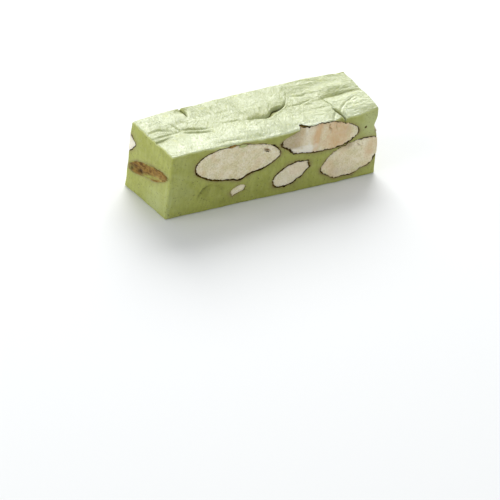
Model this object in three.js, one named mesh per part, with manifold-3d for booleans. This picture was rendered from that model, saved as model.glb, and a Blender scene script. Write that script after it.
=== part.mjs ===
// A bar of soft green nougat with whole almonds, cut from a slab.
// Millimetres, +Z up. X runs along the bar, -Y is the long front face, and the bar lies flat on z = 0.
// The slab's own surface is the creased top. The four sides are knife cuts, which pass through the almonds.
// Each cut almond is a solid of its own, set in a pocket that leaves room for its thin brown skin.

import * as THREE from 'three';
import { mergeVertices } from 'three/addons/utils/BufferGeometryUtils.js';
import Module from 'manifold-3d';

const wasm = await Module();
wasm.setup();

// ---- Driving dimensions ----

const LENGTH = 62; // along X
const WIDTH = 17.7; // along Y
const HEIGHT = 19.05; // along Z
const EDGE_RADIUS = 0.45; // soft edge left by the knife
const SKIN = 0.32; // room for an almond's skin, all round it

// How far the corners of the hand-cut bar lie from those of a true box: [x, y, z].
const CORNER_SHIFT = {
  leftFrontTop: [0.2, -0.5, -0.4],
  leftBackTop: [-0.7, 0, -0.7],
  rightFrontTop: [-0.2, 0.7, 0.2],
  rightBackTop: [0.5, 0.2, 0.8],
  leftFrontBottom: [0.7, 0.5, 0],
  leftBackBottom: [-0.9, 0.5, 0],
  rightFrontBottom: [0.9, -0.9, 0],
  rightBackBottom: [0.3, 0.2, 0],
};

// The middle of the uneven bar's box, measured from the middle of the true box.
const BOX_MIDDLE = { x: -0.09, y: -0.23 };

// ---- Relief of the top ----
// Places on the top are [along, across]: the distance from the left end and from the front face.

// A crease is a line pressed into the top. It falls off over one width in front of the line
// and another behind it. A line that runs past an edge leaves a notch there.
const CREASES = [
  { path: [[25, 7.4], [29, 6.6], [33, 6.4], [36.5, 7.9], [39.5, 9.6]], depth: 1.7, front: 0.6, behind: 2 },
  { path: [[37, 8.2], [40.5, 11.2], [42, 15.8]], depth: 0.5, front: 0.6, behind: 0.8 },
  { path: [[-1, 7.9], [3, 9], [7, 9], [11.5, 9.9], [16, 7.8]], depth: 0.45, front: 0.7, behind: 0.6 },
  { path: [[-1, 6.6], [4, 7.2], [9.5, 7.8], [15.5, 6.4]], depth: 0.35, front: 0.8, behind: 0.5 },
  { path: [[0, 10], [2.5, 12], [5, 11.2], [7.5, 9]], depth: 0.35, front: 0.6, behind: 0.7 },
  { path: [[12.8, 13.8], [13, 21]], depth: 1, front: 0.7, behind: 0.7 },
  { path: [[49.6, 10], [50.4, 5], [50.8, -1]], depth: 0.8, front: 0.6, behind: 0.6 },
  { path: [[50, 8.6], [56, 8.7], [63, 8.5]], depth: 0.45, front: 0.7, behind: 1 },
];

// A mound is a low swelling, or a hollow where its height is negative.
const TOP_MOUNDS = [
  { at: [33, 12], size: [7, 2.6], height: 0.45 },
  { at: [8, 13.5], size: [5, 2.5], height: 0.2 },
  { at: [54, 12.4], size: [6, 1.6], height: 0.35 },
  { at: [55, 9], size: [4.5, 1.6], height: -0.25 },
  { at: [44, 5.5], size: [5, 3.5], height: -0.25 },
  { at: [23, 4], size: [7, 3], height: 0.2 },
  { at: [33, 17.7], size: [27, 5], height: 0.9 },
  { at: [9, 17.7], size: [6, 4], height: 0.45 },
  { at: [50, 17.7], size: [6, 2.5], height: 0.3 },
  { at: [27, 0], size: [8, 4], height: -0.8 },
  { at: [44, 0], size: [5, 3], height: -0.45 },
  { at: [54, 0], size: [7, 2.4], height: -0.7 },
  { at: [30, 0], size: [34, 1.6], height: -0.3 },
  { at: [35, 0], size: [4, 2.5], height: -0.4 },
  { at: [58, 0], size: [5, 1.5], height: -0.25 },
  { at: [61, 6], size: [6, 6], height: 0.2 },
];

// ---- Unevenness of the cut sides ----
// Places on a side are [along, up] on the long faces and [across, up] on the ends.
const SIDE_MOUNDS = [
  { face: 'front', at: [13, 4.5], size: [5, 2], out: 0.3 },
  { face: 'front', at: [46, 0.5], size: [16, 3], out: 0.45 },
  { face: 'front', at: [50.5, 19], size: [0.8, 1.6], out: -0.6 },
  { face: 'front', at: [1, 9], size: [2, 5], out: 0.2 },
  { face: 'right', at: [0, 13.8], size: [3, 1.9], out: -1.1 },
  { face: 'right', at: [0, 1], size: [4, 2.6], out: -0.4 },
  { face: 'right', at: [12, 14], size: [4, 3], out: 0.3 },
  { face: 'left', at: [13, 15], size: [4, 3], out: 0.25 },
  { face: 'left', at: [6, 4], size: [5, 2.5], out: 0.2 },
  { face: 'back', at: [30, 19], size: [28, 7], out: 0.5 },
  { face: 'back', at: [22, 14], size: [6, 3], out: 0.25 },
  { face: 'back', at: [42, 4], size: [5, 3], out: -0.2 },
];

const ROUGHNESS = 0.12; // height of the small unevenness all over
const ROUGH_SPACING = 2.6; // distance between its bumps
const TOP_REACH = 4; // power at which the top's relief dies out downwards
const SIDE_REACH = 5; // depth over which a side's unevenness dies out

// ---- Almonds ----
// at: middle of the cut outline. tilt: degrees up from the first axis of the face.
// taper: how much thicker the left end is than the right. deep: half thickness across the cut.
// corners: [angle, push, spread] pushes the outline out at an angle, and in where the push is negative.
// proud: how far the cut surface is moved from the bar's own along X and Y, so that the almond stands out
// or lies below the face. shows: what is seen of the almond, where that isn't its kernel.
const ALMONDS = {
  almond_front_1: {
    face: 'front', at: [19.6, 12.95], length: 24.6, height: 9.1, tilt: -3, taper: 0.16, deep: 4.6,
    corners: [
      [275, 0.9, 8], [293, -0.35, 10], [335, -0.35, 16], [48, 0.45, 16], [215, -0.35, 20], [255, 0.2, 14],
      [135, 0.15, 25],
    ],
  },
  almond_front_2: {
    face: 'front', at: [44, 13.95], length: 23.8, height: 7.5, tilt: -3.5, taper: 0, deep: 4.2,
    corners: [
      [117, 1.3, 5], [106, 0.1, 8], [142, -0.4, 12], [176, -0.3, 8], [206, -1, 15], [234, 0.45, 8],
      [335, -0.4, 16], [78, 0.45, 14],
    ],
  },
  almond_front_3: {
    face: 'front', at: [35.7, 5.45], length: 10.7, height: 5.1, tilt: 20, taper: -0.06, deep: 2.6,
    corners: [
      [320, -0.35, 14], [38, -0.35, 14], [150, 0.2, 20], [285, -0.3, 12], [17, 0.35, 7], [340, 0.4, 7],
    ],
  },
  almond_front_4: {
    face: 'front', at: [20.1, 4.5], length: 4.4, height: 2, tilt: 16, taper: 0.1, deep: 1,
    corners: [[63, 0.1, 14], [144, 0.17, 14], [230, 0.6, 14], [306, 0.4, 14], [346, 0.15, 12]],
  },
  almond_front_5: {
    face: 'front', at: [54.8, 6], length: 20, height: 8.9, tilt: 12, taper: 0.05, deep: 5.2,
    corners: [[110, 0.3, 16], [205, -0.8, 18], [240, -0.6, 14], [285, -0.35, 16], [320, -1.9, 15]],
    proud: [0.2, 0],
  },
  almond_left_1: {
    face: 'left', at: [8.9, 9.3], length: 17.2, height: 4.2, tilt: -19, taper: -0.1, deep: 1.9, shows: 'skin',
    corners: [[60, 0.3, 20], [140, 0.4, 14], [245, 0.2, 14], [285, -0.8, 20]], proud: [-0.2, 0],
  },
  almond_left_2: {
    face: 'left', at: [18.5, 13], length: 5.2, height: 5, tilt: -14, taper: 0, deep: 5,
    corners: [[180, 0.9, 18]], proud: [0, 0.2],
  },
  almond_right_1: {
    face: 'right', at: [4.6, 12.9], length: 8.2, height: 3.2, tilt: 8, taper: 0.1, deep: 2,
    corners: [[200, 0.3, 20]], proud: [0.4, 0],
  },
  almond_right_2: {
    face: 'right', at: [11.8, 6.6], length: 9, height: 7.4, tilt: -24, taper: 0.12, deep: 3,
    corners: [[60, 0.5, 14], [230, -0.4, 18]],
  },
  almond_back_1: {
    face: 'back', at: [14.5, 6.2], length: 20.5, height: 8.2, tilt: 5, taper: -0.14, deep: 4.2,
    corners: [[80, 0.5, 16], [245, -0.4, 18], [300, 0.4, 12]],
  },
  almond_back_2: {
    face: 'back', at: [26.5, 14], length: 14.2, height: 6.4, tilt: -10, taper: 0.12, deep: 3.2,
    corners: [[130, 0.4, 14], [330, -0.3, 16]],
  },
  almond_back_3: {
    face: 'back', at: [32.4, 5.2], length: 8.4, height: 4.2, tilt: 24, taper: 0, deep: 2.2,
    corners: [[200, 0.3, 16]],
  },
  almond_back_4: {
    face: 'back', at: [47.6, 9.6], length: 22.4, height: 9.4, tilt: 9, taper: 0.15, deep: 4,
    corners: [[100, 0.4, 14], [160, -0.5, 16], [285, 0.6, 12]],
  },
};

// ---- Fineness of the facets ----

const SHORTEST_EDGE = 0.01; // cuts leave no shorter one
const SEGMENTS_PER_MM = 1.5;
const SEGMENT_RANGE = [16, 28];
const ALMOND_RINGS = 6;

// ---- Looks ----

const NOUGAT = new THREE.MeshStandardMaterial({ color: '#b4bd78', roughness: 0.62, metalness: 0 });
const KERNEL = new THREE.MeshStandardMaterial({ color: '#dccbaa', roughness: 0.75, metalness: 0 });
const ALMOND_SKIN = new THREE.MeshStandardMaterial({ color: '#805c33', roughness: 0.8, metalness: 0 });

// ---- Small helpers ----

const clamp = THREE.MathUtils.clamp;
const bell = (distance, width) => Math.exp(-((distance / width) ** 2));

// A fixed pseudo-random number from -1 to 1 for each point of a whole-number lattice.
function latticeValue(i, j, k) {
  const mixed = Math.sin(i * 127.1 + j * 311.7 + k * 74.7) * 43758.5453;
  return 2 * (mixed - Math.floor(mixed)) - 1;
}

// Smooth noise from -1 to 1, with bumps one unit apart.
function noise(x, y, z) {
  const cell = [x, y, z].map(Math.floor);
  const ease = [x, y, z].map((value, axis) => THREE.MathUtils.smoothstep(value - cell[axis], 0, 1));
  let sum = 0;
  for (let corner = 0; corner < 8; corner++) {
    const step = [corner & 1, (corner >> 1) & 1, (corner >> 2) & 1];
    const share = step.reduce((product, side, axis) => product * (side ? ease[axis] : 1 - ease[axis]), 1);
    sum += share * latticeValue(cell[0] + step[0], cell[1] + step[1], cell[2] + step[2]);
  }
  return sum;
}

// ---- Shape of the bar ----
// Shapes are made in a true box with its left front bottom corner at 0, 0, 0, and then bent into the bar.

// A point on a face, from its two places on the face and its depth below it.
const FACES = {
  front: (first, up, depth) => new THREE.Vector3(first, depth, up),
  back: (first, up, depth) => new THREE.Vector3(first, WIDTH - depth, up),
  left: (first, up, depth) => new THREE.Vector3(depth, first, up),
  right: (first, up, depth) => new THREE.Vector3(LENGTH - depth, first, up),
};

// The same the other way: a point's two places on a face, its depth, and the way out of the face.
function placeOnFace(face, p) {
  if (face === 'front') return { first: p.x, depth: p.y, out: [0, -1] };
  if (face === 'back') return { first: p.x, depth: WIDTH - p.y, out: [0, 1] };
  if (face === 'left') return { first: p.y, depth: p.x, out: [-1, 0] };
  return { first: p.y, depth: LENGTH - p.x, out: [1, 0] };
}

// The nearest spot of a line to a point: its distance, the side the point lies on, and the spot's part
// of the way along the line.
function nearestOnPath(path, x, y) {
  let nearest = { distance: Infinity, side: 1, part: 0 };
  for (let i = 0; i + 1 < path.length; i++) {
    const [startX, startY] = path[i];
    const runX = path[i + 1][0] - startX;
    const runY = path[i + 1][1] - startY;
    const t = clamp(((x - startX) * runX + (y - startY) * runY) / (runX ** 2 + runY ** 2), 0, 1);
    const gapX = x - startX - t * runX;
    const gapY = y - startY - t * runY;
    const distance = Math.hypot(gapX, gapY);
    if (distance < nearest.distance) {
      const side = Math.sign(runX * gapY - runY * gapX) || 1;
      nearest = { distance, side, part: (i + t) / (path.length - 1) };
    }
  }
  return nearest;
}

// A mound's share of its full height at a place.
function moundShare({ at, size }, first, second) {
  return bell(Math.hypot((first - at[0]) / size[0], (second - at[1]) / size[1]), 1);
}

function topRelief(along, across) {
  let height = ROUGHNESS * noise(along / ROUGH_SPACING, across / ROUGH_SPACING, 0.5);
  for (const { path, depth, front, behind } of CREASES) {
    const { distance, side, part } = nearestOnPath(path, along, across);
    const fade = Math.sqrt(Math.sin(Math.PI * clamp(part, 0.02, 0.98)));
    height -= depth * fade * bell(distance, side > 0 ? behind : front);
  }
  for (const mound of TOP_MOUNDS) height += mound.height * moundShare(mound, along, across);
  return height;
}

// Moves a point of the true box to where it lies in the hand-cut bar, before its corners shift.
function roughen(p) {
  const moved = p.clone();
  moved.z += topRelief(p.x, p.y) * (p.z / HEIGHT) ** TOP_REACH;
  for (const face of Object.keys(FACES)) {
    const { first, depth, out } = placeOnFace(face, p);
    const fade = Math.max(0, 1 - depth / SIDE_REACH) ** 2;
    if (fade === 0) continue;
    const layer = 7 * out[0] + 13 * out[1] + 0.5; // a slice of the noise for each face
    let push = ROUGHNESS * noise(first / ROUGH_SPACING, p.z / ROUGH_SPACING, layer);
    for (const mound of SIDE_MOUNDS) {
      if (mound.face === face) push += mound.out * moundShare(mound, first, p.z);
    }
    moved.x += out[0] * push * fade;
    moved.y += out[1] * push * fade;
  }
  return moved;
}

// Shifts a point by its share of each corner's shift, and puts the middle of the bar on the Z axis.
function bend(p) {
  const right = p.x / LENGTH;
  const back = p.y / WIDTH;
  const top = p.z / HEIGHT;
  const moved = p.clone();
  for (const [corner, shift] of Object.entries(CORNER_SHIFT)) {
    const share = (corner.startsWith('right') ? right : 1 - right)
      * (corner.includes('Back') ? back : 1 - back)
      * (corner.endsWith('Top') ? top : 1 - top);
    moved.add(new THREE.Vector3(...shift).multiplyScalar(share));
  }
  return moved.sub(new THREE.Vector3(LENGTH / 2 + BOX_MIDDLE.x, WIDTH / 2 + BOX_MIDDLE.y, 0));
}

// ---- Solids ----

// A closed geometry whose vertices are moved by a function, as a solid that faces out.
function solidFrom(geometry, move) {
  geometry.deleteAttribute('normal');
  geometry.deleteAttribute('uv');
  const merged = mergeVertices(geometry, 1e-5);
  const position = merged.getAttribute('position');
  const point = new THREE.Vector3();
  for (let i = 0; i < position.count; i++) {
    const { x, y, z } = move(point.fromBufferAttribute(position, i));
    position.setXYZ(i, x, y, z);
  }
  const mesh = { numProp: 3, vertProperties: position.array, tolerance: SHORTEST_EDGE };
  const makeSolid = (triVerts) => new wasm.Manifold(new wasm.Mesh({ ...mesh, triVerts }));
  const triangles = new Uint32Array(merged.index.array);
  const solid = makeSolid(triangles);
  return solid.volume() > 0 ? solid : makeSolid(triangles.reverse());
}

const largestPiece = (solid) => solid.decompose().sort((a, b) => b.volume() - a.volume())[0];

// The box's grid: lines close to each edge for its rounding, the rest evenly spaced.
const CELLS = { x: 53, y: 17, z: 10 };
const EDGE_LINES = [0, 0.6 * EDGE_RADIUS, EDGE_RADIUS];
const EDGE_CELLS = EDGE_LINES.length - 1;

function gridLine(index, cells, size) {
  if (index <= EDGE_CELLS) return EDGE_LINES[index];
  if (index >= cells - EDGE_CELLS) return size - EDGE_LINES[cells - index];
  return EDGE_RADIUS + ((index - EDGE_CELLS) * (size - 2 * EDGE_RADIUS)) / (cells - 2 * EDGE_CELLS);
}

// The grid lines of a vertex of the unit box.
const linesOf = ({ x, y, z }) => ({
  x: Math.round((x + 0.5) * CELLS.x),
  y: Math.round((y + 0.5) * CELLS.y),
  z: Math.round((z + 0.5) * CELLS.z),
});

// The grid points round the flat of the underside, in order.
function rimOfFlat() {
  const low = EDGE_CELLS;
  const right = CELLS.x - EDGE_CELLS;
  const back = CELLS.y - EDGE_CELLS;
  const rim = [];
  for (let i = low; i < right; i++) rim.push([i, low]);
  for (let j = low; j < back; j++) rim.push([right, j]);
  for (let i = right; i > low; i--) rim.push([i, back]);
  for (let j = back; j > low; j--) rim.push([low, j]);
  return rim;
}

// A unit box whose sides, top and lower rim are gridded. One polygon fills the flat of its underside.
function makeGrid() {
  const grid = new THREE.BoxGeometry(1, 1, 1, CELLS.x, CELLS.y, CELLS.z);
  const position = grid.getAttribute('position');
  const [, , , , , under] = grid.groups;
  const triangles = [];
  const underVertex = {};
  for (let start = 0; start < grid.index.count; start += 3) {
    const corners = [0, 1, 2].map((step) => grid.index.getX(start + step));
    let onFlat = start >= under.start;
    for (const vertex of onFlat ? corners : []) {
      const { x, y } = linesOf(new THREE.Vector3().fromBufferAttribute(position, vertex));
      underVertex[`${x},${y}`] = vertex;
      onFlat &&= x === clamp(x, EDGE_CELLS, CELLS.x - EDGE_CELLS);
      onFlat &&= y === clamp(y, EDGE_CELLS, CELLS.y - EDGE_CELLS);
    }
    if (!onFlat) triangles.push(...corners);
  }
  const rim = rimOfFlat();
  const rimVertices = rim.map(([i, j]) => underVertex[`${i},${j}`]);
  const flat = THREE.ShapeUtils.triangulateShape(rim.map(([i, j]) => new THREE.Vector2(i, j)), []);
  for (const [a, b, c] of flat) triangles.push(rimVertices[a], rimVertices[c], rimVertices[b]);
  grid.setIndex(triangles);
  return grid;
}

// The whole bar with its rounded edges and relief, moved by so much along X and Y.
function makeBlock([outX, outY] = [0, 0]) {
  const sizes = { x: LENGTH, y: WIDTH, z: HEIGHT };
  return solidFrom(makeGrid(), (unit) => {
    const lines = linesOf(unit);
    const point = new THREE.Vector3();
    const core = new THREE.Vector3();
    for (const axis of ['x', 'y', 'z']) {
      point[axis] = gridLine(lines[axis], CELLS[axis], sizes[axis]);
      core[axis] = clamp(point[axis], EDGE_RADIUS, sizes[axis] - EDGE_RADIUS);
    }
    point.sub(core).setLength(EDGE_RADIUS).add(core);
    return bend(roughen(point)).add(new THREE.Vector3(outX, outY, 0));
  });
}

// The outline of an almond's widest section at an angle in radians, from the section's middle.
function outlinePoint(almond, angle, grow) {
  const point = new THREE.Vector2(
    (almond.length / 2 + grow) * Math.cos(angle),
    (almond.height / 2 + grow) * Math.sin(angle) * (1 - almond.taper * Math.cos(angle)),
  );
  let reach = point.length();
  for (const [degrees, push, spread] of almond.corners) {
    const turn = THREE.MathUtils.radToDeg(angle) - degrees;
    const away = THREE.MathUtils.euclideanModulo(turn + 180, 360) - 180;
    reach += push * bell(away, spread);
  }
  return point.setLength(reach).rotateAround(new THREE.Vector2(), THREE.MathUtils.degToRad(almond.tilt));
}

// A whole almond with its widest section on a face. grow makes it larger all round.
function makeAlmond(almond, grow = 0) {
  const segments = clamp(Math.round(almond.length * SEGMENTS_PER_MM), ...SEGMENT_RANGE);
  return solidFrom(new THREE.SphereGeometry(1, segments, ALMOND_RINGS), (unit) => {
    const ring = Math.hypot(unit.x, unit.z);
    const outline = outlinePoint(almond, Math.atan2(unit.z, unit.x), grow);
    const first = almond.at[0] + ring * outline.x;
    const up = almond.at[1] + ring * outline.y;
    return bend(FACES[almond.face](first, up, (almond.deep + grow) * unit.y));
  });
}

// ---- Meshes ----

function meshFrom(name, solid, material) {
  const { vertProperties, triVerts } = solid.getMesh();
  const geometry = new THREE.BufferGeometry();
  geometry.setAttribute('position', new THREE.BufferAttribute(vertProperties, 3));
  geometry.setIndex(new THREE.BufferAttribute(triVerts, 1));
  geometry.computeVertexNormals();
  const mesh = new THREE.Mesh(geometry, material);
  mesh.name = name;
  return mesh;
}

const group = new THREE.Group();
group.name = 'nougat_bar';

let nougat = makeBlock();
const pockets = [];
for (const [name, almond] of Object.entries(ALMONDS)) {
  let cutAlmond = makeAlmond(almond).intersect(makeBlock(almond.proud));
  for (const pocket of pockets) cutAlmond = cutAlmond.subtract(pocket);
  const pocket = makeAlmond(almond, SKIN);
  pockets.push(pocket);
  nougat = nougat.subtract(pocket);
  group.add(meshFrom(name, largestPiece(cutAlmond), almond.shows === 'skin' ? ALMOND_SKIN : KERNEL));
}
group.add(meshFrom('nougat', largestPiece(nougat), NOUGAT));

export default group;
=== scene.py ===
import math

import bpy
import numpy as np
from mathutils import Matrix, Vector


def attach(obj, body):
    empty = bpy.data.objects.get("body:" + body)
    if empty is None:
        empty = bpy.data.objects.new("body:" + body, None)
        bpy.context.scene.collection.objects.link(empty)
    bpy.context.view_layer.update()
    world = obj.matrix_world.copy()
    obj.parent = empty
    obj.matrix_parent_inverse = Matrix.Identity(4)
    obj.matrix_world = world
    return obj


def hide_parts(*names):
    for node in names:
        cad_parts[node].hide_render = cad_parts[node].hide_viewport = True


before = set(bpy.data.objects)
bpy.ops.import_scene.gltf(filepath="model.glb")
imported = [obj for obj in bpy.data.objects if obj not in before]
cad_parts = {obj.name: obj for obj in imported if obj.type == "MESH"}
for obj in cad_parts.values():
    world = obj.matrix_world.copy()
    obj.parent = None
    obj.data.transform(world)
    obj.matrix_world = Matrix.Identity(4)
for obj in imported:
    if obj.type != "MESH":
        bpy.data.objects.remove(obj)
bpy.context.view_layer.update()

# A bar of soft green nougat with whole almonds, cut from a slab with a knife.
# Lengths below are millimetres and MM turns them into metres. X runs along the bar, -Y is its long front
# face and it lies on z = 0. Shapes are made in a true box whose left front bottom corner is at 0, 0, 0,
# and are then bent into the uneven bar that the frame holds.

MM = 0.001

# ---- The bar, as in the frame ----

LENGTH = 62.0
WIDTH = 17.7
HEIGHT = 19.05
SIZE = np.array([LENGTH, WIDTH, HEIGHT])
EDGE_RADIUS = 0.45

# How far the corners of the hand-cut bar lie from those of a true box. A 1 in a corner's name stands
# for its right, its back and its top.
CORNER_SHIFT = {
    (0, 0, 1): (0.2, -0.5, -0.4),
    (0, 1, 1): (-0.7, 0.0, -0.7),
    (1, 0, 1): (-0.2, 0.7, 0.2),
    (1, 1, 1): (0.5, 0.2, 0.8),
    (0, 0, 0): (0.7, 0.5, 0.0),
    (0, 1, 0): (-0.9, 0.5, 0.0),
    (1, 0, 0): (0.9, -0.9, 0.0),
    (1, 1, 0): (0.3, 0.2, 0.0),
}
BOX_MIDDLE = (-0.09, -0.23)  # middle of the uneven bar's box, from the middle of the true box
UNBEND_ROUNDS = 4  # the bend is slight, so a few rounds find where a bent point came from

# ---- Fineness of the meshes ----

STEP = (0.225, 0.215, 0.4)  # spacing of the bar's mesh along, across and up
FINE_STEP = 0.13
FINE_STRETCHES = ([(27, 42), (49, 52.5)], [(6, 10)], [])  # where the top has fine folds
EDGE_LINES = 5  # mesh lines across a rounded edge
COARSE_STEP = 0.5  # for the block that ends the skins
KERNEL_STEP = 0.13  # on a kernel's cut face
KERNEL_FAR_STEP = 0.9  # past the kernel
KERNEL_DEPTH_STEP = 0.35
KERNEL_MARGIN = 1.0  # how far the fine mesh reaches past the kernel
KERNEL_RELIEF_REACH = 0.8  # depth at which a kernel's relief has faded out
ALMOND_SEGMENTS = 260
ALMOND_RINGS = 12
FLAKE_SEGMENTS = 20
FLAKE_RINGS = 12
SHARP_ANGLE = 42  # degrees from which an edge is shaded sharp

# ---- Relief of the top ----

# Creases: (along, across) points, depth, and the widths of the fall in front of the line and behind it.
CREASES = [
    ([(-1, 8.5), (3.5, 9.1), (8.5, 9.2)], 0.3, 0.22, 0.4),
    ([(8.5, 9.7), (11, 9.4), (13, 8.5), (16, 7.7)], 0.42, 0.3, 0.5),
    ([(8.5, 8.5), (11, 7.8), (13, 7), (15.5, 6.2)], 0.4, 0.3, 0.4),
    ([(-1, 6.9), (1.5, 7.3), (5, 7.9)], 0.35, 0.55, 0.3),
    ([(-0.3, 10), (1.2, 11.4), (2.8, 11.9), (5, 11.1), (7, 9.4)], 0.3, 0.25, 0.4),
    ([(7.4, 13), (8.1, 10.8), (8.4, 9)], 0.22, 0.3, 0.22),
    ([(19, 8.6), (22, 8.2), (25, 8)], 0.14, 0.2, 0.35),
    ([(13.2, 14.2), (13.6, 16.2), (13.2, 17.6), (12.9, 20)], 0.95, 0.24, 0.32),
    ([(49.6, 10), (50.2, 6.2), (50.6, 4.2)], 0.25, 0.3, 0.2),
    ([(50.1, 4.2), (50.45, 3), (50.85, 2), (51.25, 1), (51.5, -0.3)], 1.25, 0.26, 0.34),
    ([(50.7, 1.6), (52.4, 3.6), (54.5, 5), (58, 6.4)], 0.22, 0.25, 0.3),
    ([(52.4, 2.6), (52.1, 1), (52.4, -1)], 0.25, 0.2, 0.25),
    ([(50.2, 2.8), (48.8, 1.4), (47.2, -1)], 0.3, 0.25, 0.3),
    ([(50.5, 8.7), (54, 9.25), (57.8, 9.3), (60.4, 8.9), (63, 8.4)], 0.36, 0.3, 0.6),
    ([(42, 12.6), (45.5, 11.7), (47, 12.3)], 0.2, 0.25, 0.2),
    ([(38.5, 8.6), (43, 8.7), (47, 9.6)], 0.14, 0.2, 0.3),
    ([(14, 1.2), (17, 1.4), (21, 0.9)], 0.12, 0.2, 0.25),
    ([(57, 18.4), (60, 17.2), (63, 17)], 0.22, 0.25, 0.2),
]

# The deep fold: a lip, a floor that slopes down behind it and a wall that rises steeply to a rolled flap.
FOLD_PATH = [(25.8, 7.6), (28, 6.9), (31, 6.3), (32.8, 6.4), (34.6, 7.4), (38.2, 9.1), (40.4, 11.2),
             (41.8, 13.8), (41.8, 16.2)]
FOLD_DEPTH = 0.55
FOLD_FLOOR = 0.95  # length of the floor at its longest
FOLD_FLOOR_AT = (34.2, 2.2)  # where along the bar that is, and how fast it shortens to both sides
FOLD_FLOOR_LEAST = 0.06
FOLD_WALL = 0.9  # length of the wall
FOLD_LONG_WALL = (1.3, 28.6, 3.2)  # how much longer the wall is at one place, the place, and its spread
FOLD_LIFT = 0.4  # how far the flap rises above the top
FOLD_ROLL = 2.6  # how far behind the wall the flap levels out
FOLD_FADE = (37.5, 40.5)  # where along the bar the fold begins to grow shallow, and where it stops
FOLD_FADED = 0.2  # its strength from there on
FOLD_LIP = (0.06, 0.3, 0.25)  # the lip's height, how far it lies in front of the path, and its width

# Swellings and hollows: (along, across), (length, width), rise.
TOP_MOUNDS = [
    ((33, 12), (7, 2.6), 0.45), ((8, 13.5), (5, 2.5), 0.2), ((54, 12.4), (6, 1.6), 0.35),
    ((55, 9), (4.5, 1.6), -0.25), ((44, 5.5), (5, 3.5), -0.25), ((23, 4), (7, 3), 0.2),
    ((33, 17.7), (27, 5), 0.9), ((9, 17.7), (6, 4), 0.45), ((50, 17.7), (6, 2.5), 0.3),
    ((12.9, 16.4), (1.4, 0.9), -0.5), ((27, 0), (8, 4), -0.8), ((54, 0), (7, 4), -0.75),
    ((30, 0), (34, 1.6), -0.3), ((35, 0), (4, 2.5), -0.4), ((58, 0), (5, 1.5), -0.25),
    ((61, 6), (6, 6), 0.2), ((44, 0), (5, 3), -0.45),
]

# ---- Colouring of the top ----

# Painted shade: olive places in hollows and on slopes in shade: (along, across), (length, width), strength.
TOP_SHADES = [
    ((12.7, 17.6), (1.9, 1), 0.95), ((8.2, 18.4), (2, 0.5), 0.5), ((59, 17.6), (2, 0.4), 0.5),
    ((10.5, 12.8), (1.6, 1), 0.25), ((29.9, 8.1), (3, 1.1), 0.8), ((35.5, 9.4), (3, 0.7), 0.4),
    ((45, 7.5), (5, 3), 0.15), ((52.6, 9.5), (3.2, 1.3), 0.6), ((59.6, 9.3), (3.4, 0.6), 0.6),
    ((1, 7.2), (2.5, 0.6), 0.5), ((11.5, 9.8), (3, 0.6), 0.3), ((48, 1.2), (1.2, 1), 0.35),
    ((50.8, 1.9), (0.5, 1.3), 0.9), ((60, 0.5), (4, 1.2), 0.5),
]

# Places with a painted whitish sheen, the lamp's reflection painted into the colour, some along the front
# edge.
TOP_SHEENS = [
    ((6, 2.5), (9, 4), 0.42), ((22, 3.5), (12, 3), 0.5), ((32, 2.5), (7, 2.5), 0.35),
    ((44, 1), (9, 2.4), 0.5), ((56, 5), (7, 4), 0.35), ((7, 15), (7, 3), 0.42), ((18, 12.5), (6, 2), 0.17),
    ((29, 14), (6, 2.5), 0.2), ((26, 0), (12, 0.8), 0.7), ((39, 0), (7, 0.8), 0.7),
    ((56, 1.2), (6, 1.4), 0.5),
]

# ---- The cut sides ----
# Places are (along, up) on the long faces and (across, up) on the ends.

# Painted light and shade, paler where light falls and darker in shade: place, size, and from -1 for dark to 1
# for pale.
SIDE_LIGHT_AND_SHADE = {
    "front": [((2.5, 9), (4.5, 12), 0.35), ((60, 15), (4.5, 6), 0.8), ((16, 2), (7, 2.5), -0.2),
              ((10.3, 5.6), (1.5, 1.7), -0.7), ((15, 6.2), (2.2, 1.3), -0.5), ((13.5, 3.6), (3, 1.2), 0.25),
              ((6.5, 6.5), (1.5, 2), 0.2), ((36, 1), (14, 4), -0.35)],
    "left": [((4, 3), (5, 4), 0.65), ((5, 9), (5, 4), 0.25), ((10, 1), (8, 2), 0.25),
             ((16, 16), (2, 3), -0.2), ((9, 14), (5, 3), -0.3)],
}

SIDE_CREASES = {
    "front": [([(8.4, 3.6), (8.9, 5.4), (10, 6.8), (11.6, 7.5), (13, 7.6)], 0.55, 0.45, 0.3),
              ([(13.4, 7.2), (15.2, 6.4), (16.9, 4.9)], 0.25, 0.5, 0.5)],
}

# Swellings and hollows: place, size, rise.
SIDE_MOUNDS = {
    "front": [((13, 4.5), (5, 2), 0.3), ((46, 0.5), (16, 3), 0.45), ((50.5, 19), (0.8, 1.6), -0.6),
              ((1, 9), (2, 5), 0.2)],
    "back": [((30, 19), (28, 7), 0.5), ((22, 14), (6, 3), 0.25), ((42, 4), (5, 3), -0.2)],
    "left": [((13, 15), (4, 3), 0.25), ((6, 4), (5, 2.5), 0.2), ((0.3, 6.5), (2.2, 4.5), 0.28)],
    "right": [((0, 13.8), (3, 1.9), -1.1), ((0, 1), (4, 2.6), -0.4), ((12, 14), (4, 3), 0.3)],
}

ROUGHNESS = 0.12  # how far every surface wavers
ROUGH_SPACING = 2.6
TOP_REACH = 4  # the top's relief fades with this power of the height
SIDE_REACH = 5.0  # depth at which a side's relief has faded out
SIDE_PAINT_DEPTH = 1.0  # how deep below a side its colours reach

# Each side: the axis its first place runs along, the axis it faces, and whether it is the far one.
FACES = {"front": (0, 1, 0), "back": (0, 1, 1), "left": (1, 0, 0), "right": (1, 0, 1)}

# ---- The almonds, as in the frame ----
# at: the middle of the cut face, along or across and up. deep: how far it goes into the bar.
# corners: (angle, push, spread) of each corner or dent in the outline.
# skin: its thickness, and (angle, extra, spread) where the brown skin shows thicker or thinner.
# dents: cracks and nicks in the cut kernel: points (along or across, up), depth and width.
# peaches, stains: place, size and strength of orange and of brown spots. pale: how white it is all over.
# ragged: how far the outline wavers. broken: how rough the cut is. proud: how far the bar that cuts it is
# moved along and across, so that it stands out of its side. torn: only its torn skin shows.

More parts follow.
